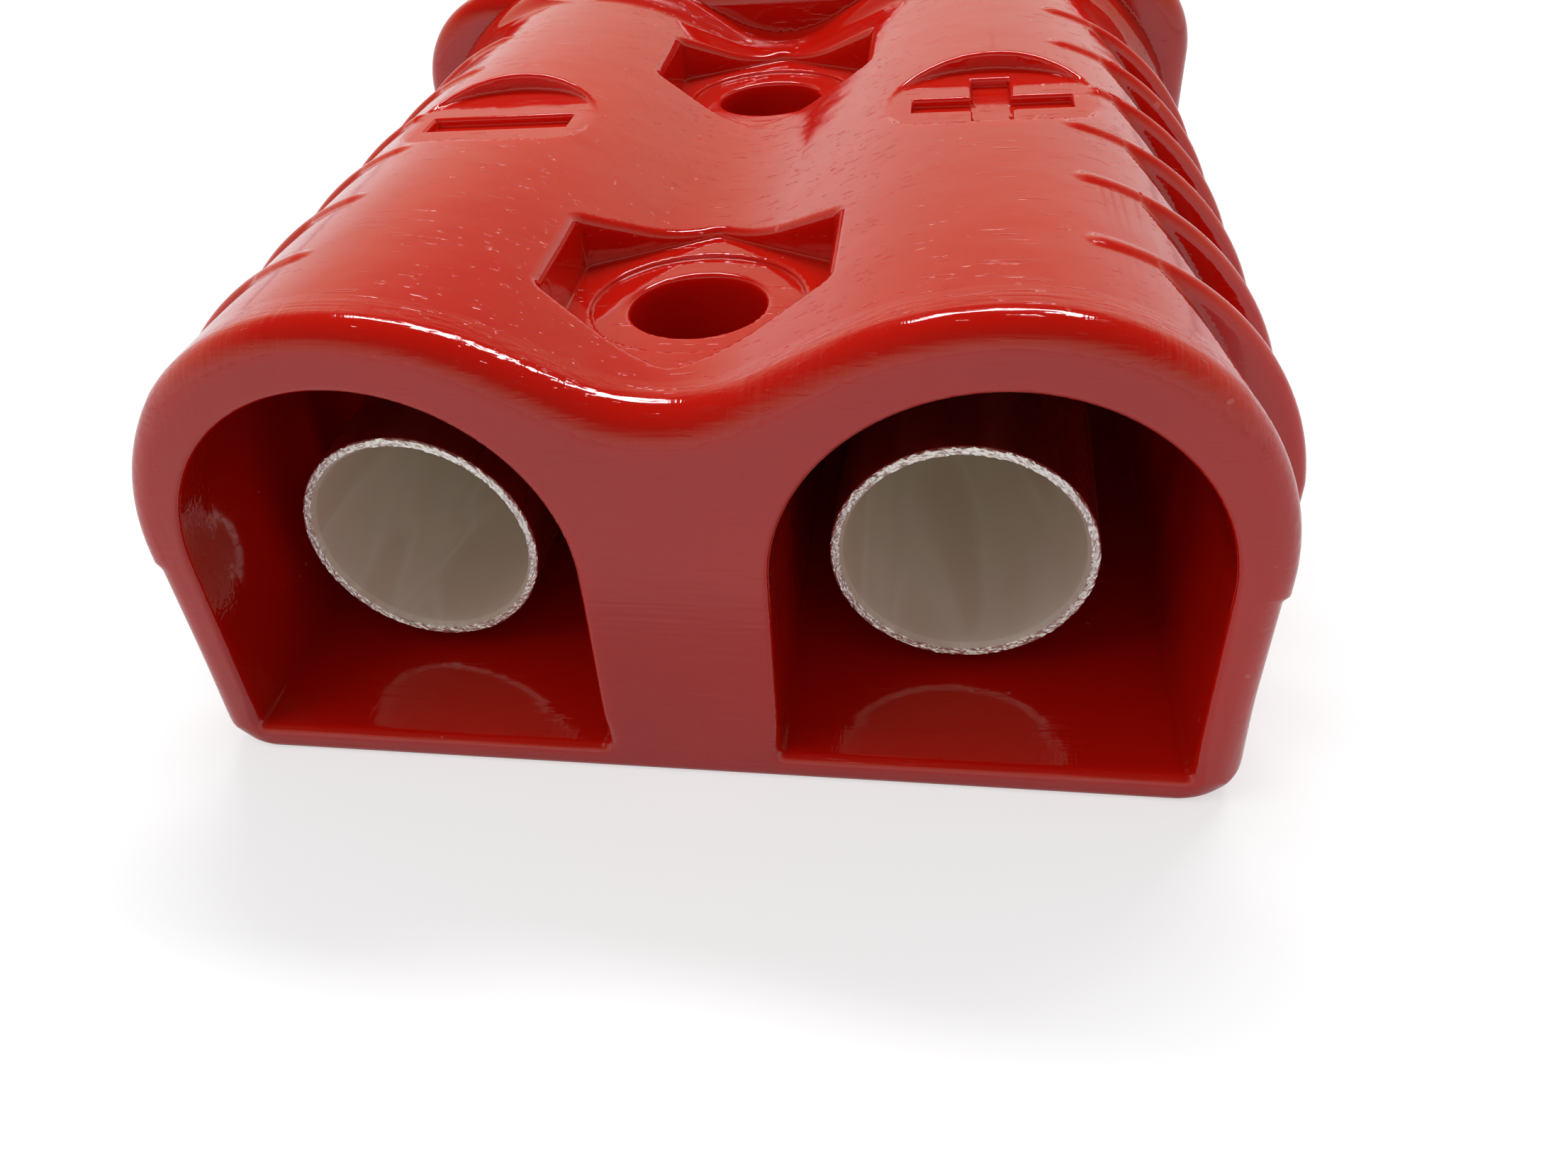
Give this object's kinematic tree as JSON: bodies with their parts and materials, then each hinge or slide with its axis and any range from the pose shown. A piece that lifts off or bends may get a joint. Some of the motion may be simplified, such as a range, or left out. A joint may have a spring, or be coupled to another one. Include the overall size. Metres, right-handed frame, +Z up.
{
  "type": "genderless power connector",
  "caption": "Moulded genderless two-pole power connector with ribbed grips, wire-barrel contacts, leaf springs and bolt holes.",
  "frame": {"origin": "under the middle of the housing, on the plane of its flat underside", "axes": "+Y from the cable end to the mating end, +Z up from the flat underside to the humps, +X towards the positive pole"},
  "size_m": [0.0552, 0.08, 0.0247],
  "materials": {
    "housing": "glossy red moulded polycarbonate",
    "contact": "silver-plated copper, satin",
    "spring": "bright stainless spring strip"
  },
  "bodies": {
    "root": {"housing": "housing", "contact_negative": "contact", "contact_positive": "contact", "spring_negative": "spring", "spring_positive": "spring"}
  },
  "joints": []
}
